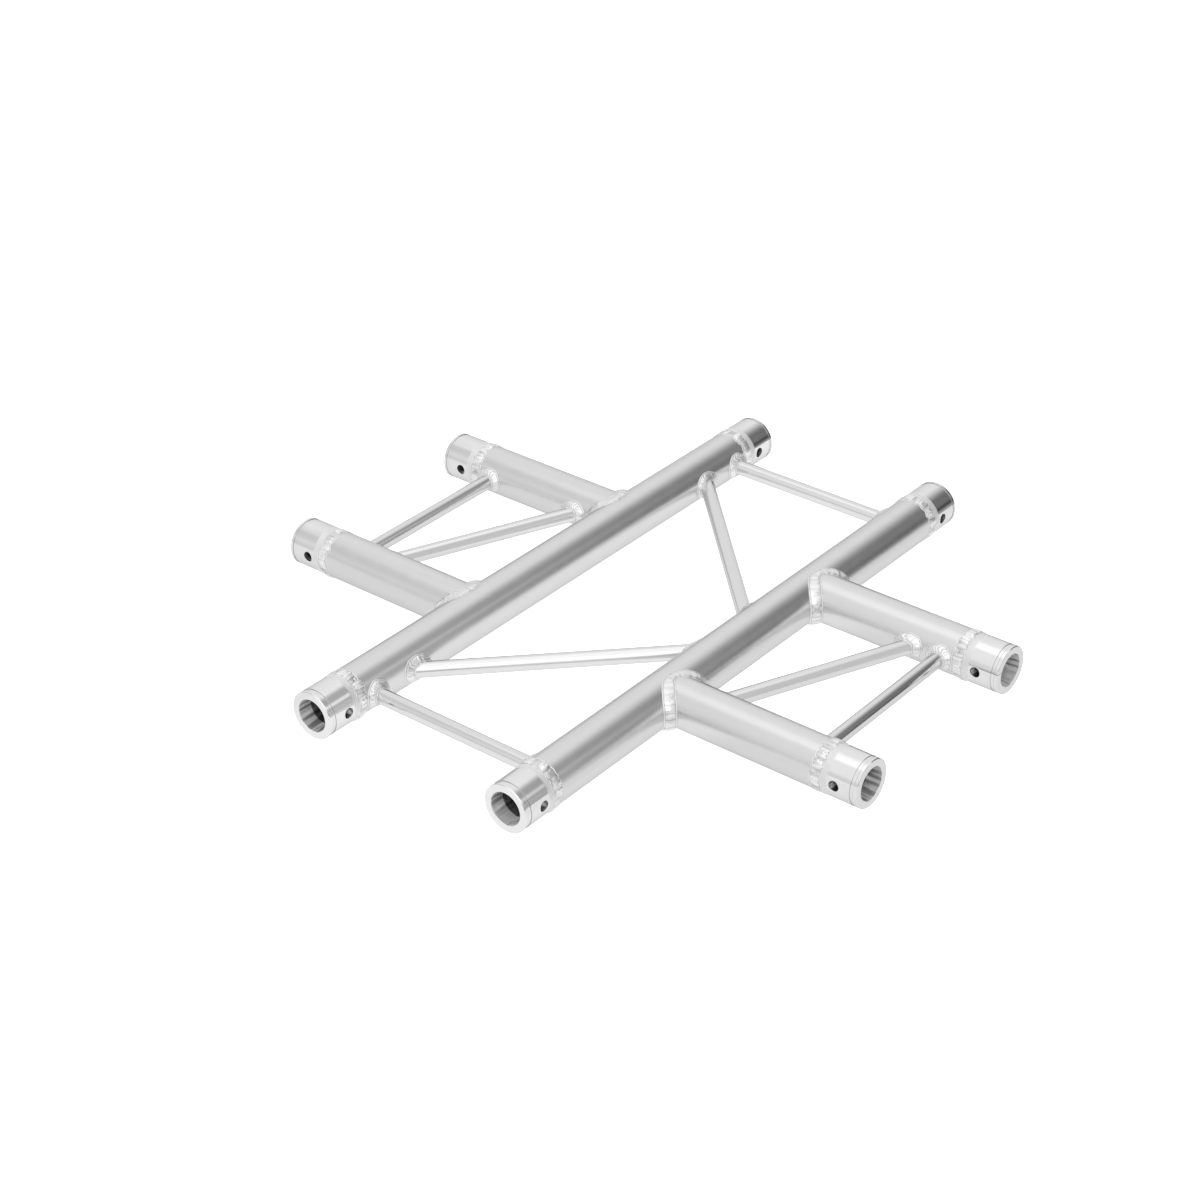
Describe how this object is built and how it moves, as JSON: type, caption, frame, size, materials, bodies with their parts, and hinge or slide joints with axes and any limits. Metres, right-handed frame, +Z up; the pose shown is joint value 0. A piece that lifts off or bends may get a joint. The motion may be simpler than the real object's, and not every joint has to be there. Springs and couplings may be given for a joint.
{
  "type": "lighting truss section",
  "caption": "Flat cross-shaped ladder truss section of welded aluminium tube, with a machined socket and pin hole on every tube end.",
  "frame": {"origin": "centre of the cross, in the plane that holds every tube axis", "axes": "+X along the two continuous chords towards the rear, +Y along the arms towards the left, +Z up, square to the flat frame"},
  "size_m": [0.71, 0.71, 0.0526],
  "materials": {
    "main_tube": "mill-finish extruded tube, satin, with faint drawing lines along its length and frosted zones beside the welds",
    "brace_tube": "mill-finish drawn tube, satin, with lines along its length",
    "machined_socket": "turned, semi-bright, with fine circumferential tool marks",
    "weld_metal": "as welded, bright, with overlapping ripples"
  },
  "bodies": {
    "root": {"left_chord": "main_tube", "right_chord": "main_tube", "left_front_arm": "main_tube", "left_rear_arm": "main_tube", "right_front_arm": "main_tube", "right_rear_arm": "main_tube", "front_cross_brace": "brace_tube", "front_diagonal_brace": "brace_tube", "rear_cross_brace": "brace_tube", "rear_diagonal_brace": "brace_tube", "left_cross_brace": "brace_tube", "left_diagonal_brace": "brace_tube", "right_cross_brace": "brace_tube", "right_diagonal_brace": "brace_tube", "left_chord_front_socket": "machined_socket", "left_chord_rear_socket": "machined_socket", "right_chord_front_socket": "machined_socket", "right_chord_rear_socket": "machined_socket", "left_front_arm_socket": "machined_socket", "left_rear_arm_socket": "machined_socket", "right_front_arm_socket": "machined_socket", "right_rear_arm_socket": "machined_socket", "left_chord_front_girth_weld": "weld_metal", "left_chord_rear_girth_weld": "weld_metal", "right_chord_front_girth_weld": "weld_metal", "right_chord_rear_girth_weld": "weld_metal", "left_front_arm_girth_weld": "weld_metal", "left_rear_arm_girth_weld": "weld_metal", "right_front_arm_girth_weld": "weld_metal", "right_rear_arm_girth_weld": "weld_metal", "left_front_saddle_weld": "weld_metal", "left_rear_saddle_weld": "weld_metal", "right_front_saddle_weld": "weld_metal", "right_rear_saddle_weld": "weld_metal", "front_cross_brace_left_weld": "weld_metal", "front_cross_brace_right_weld": "weld_metal", "front_diagonal_brace_left_weld": "weld_metal", "front_diagonal_brace_right_weld": "weld_metal", "rear_cross_brace_left_weld": "weld_metal", "rear_cross_brace_right_weld": "weld_metal", "rear_diagonal_brace_left_weld": "weld_metal", "rear_diagonal_brace_right_weld": "weld_metal", "left_cross_brace_front_weld": "weld_metal", "left_cross_brace_rear_weld": "weld_metal", "left_diagonal_brace_front_weld": "weld_metal", "left_diagonal_brace_rear_weld": "weld_metal", "right_cross_brace_front_weld": "weld_metal", "right_cross_brace_rear_weld": "weld_metal", "right_diagonal_brace_front_weld": "weld_metal", "right_diagonal_brace_rear_weld": "weld_metal"}
  },
  "joints": []
}
